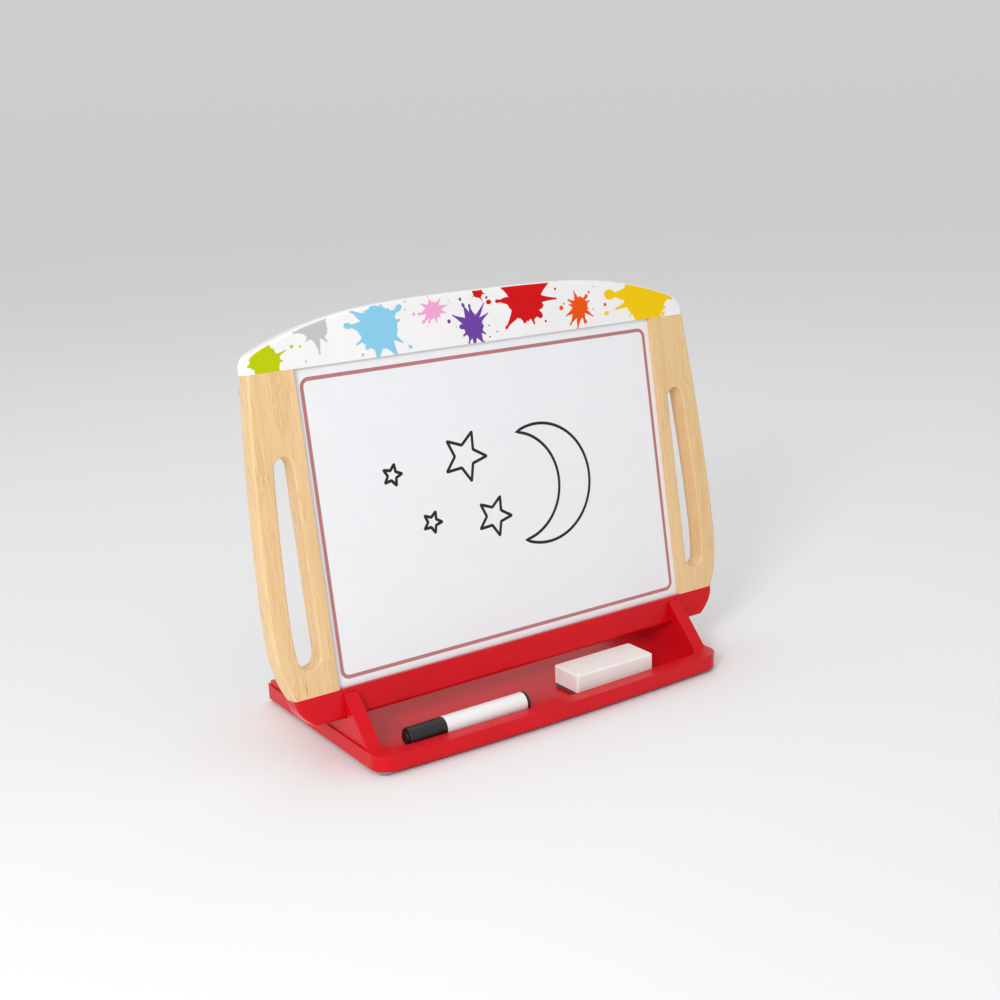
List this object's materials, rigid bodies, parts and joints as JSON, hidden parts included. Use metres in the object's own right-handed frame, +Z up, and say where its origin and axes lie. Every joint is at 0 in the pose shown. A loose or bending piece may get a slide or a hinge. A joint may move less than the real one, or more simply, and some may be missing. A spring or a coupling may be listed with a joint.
{
  "type": "table-top kids easel",
  "caption": "Framed double-sided drawing board with hand slots that drops into two slotted gussets on a tray base, with a capped pen and a board eraser in the tray.",
  "frame": {"origin": "middle of the easel's bounding box at the bottom of the rubber feet", "axes": "+X to the right across the board as seen from the whiteboard side, +Y to the rear, +Z up"},
  "size_m": [0.438, 0.1926, 0.3371],
  "materials": {
    "printed_top": "white lacquer with printed paint splashes, satin",
    "pine": "clear satin varnish over pine",
    "red_lacquer": "glossy red lacquer over wood",
    "whiteboard": "glossy white melamine film, dry-wipe",
    "fibreboard": "bare fibreboard",
    "chalkboard": "fine matt black chalk surface",
    "screw_steel": "zinc-plated steel",
    "clear_rubber": "clear soft rubber",
    "black_plastic": "moulded black plastic, semi-gloss",
    "white_plastic": "moulded white plastic, glossy",
    "marker_felt": "ink-soaked bonded fibre",
    "eraser_white": "moulded white foam plastic, matt",
    "eraser_felt": "dense black felt"
  },
  "bodies": {
    "base": {"base_plate": "red_lacquer", "left_gusset": "red_lacquer", "right_gusset": "red_lacquer", "gusset_screws": "screw_steel", "gusset_dowels": "pine", "foot_front_left": "clear_rubber", "foot_front_right": "clear_rubber", "foot_rear_left": "clear_rubber", "foot_rear_right": "clear_rubber"},
    "board": {"top_rail": "printed_top", "left_rail": "pine", "right_rail": "pine", "bottom_rail": "red_lacquer", "rail_dowels": "pine", "whiteboard_sheet": "whiteboard", "panel_core": "fibreboard", "chalkboard_sheet": "chalkboard"},
    "marker_cap": {"marker_cap": "black_plastic"},
    "marker": {"marker_barrel": "white_plastic", "marker_end_plug": "black_plastic", "marker_nib_holder": "black_plastic", "marker_nib": "marker_felt", "marker_reservoir": "marker_felt"},
    "eraser": {"eraser_block": "eraser_white", "eraser_felt": "eraser_felt"}
  },
  "joints": [
    {"name": "board_lift", "type": "slide", "parent": "base", "child": "board", "axis": [0, 0.1606, 0.987], "range_m": [0, 0.06]},
    {"name": "marker_lift", "type": "slide", "parent": "base", "child": "marker_cap", "axis": [0, 0, 1], "range_m": [0, 0.05]},
    {"name": "marker_uncap", "type": "slide", "parent": "marker_cap", "child": "marker", "axis": [1, 0, 0], "range_m": [0, 0.036]},
    {"name": "eraser_lift", "type": "slide", "parent": "base", "child": "eraser", "axis": [0, 0, 1], "range_m": [0, 0.04]}
  ]
}
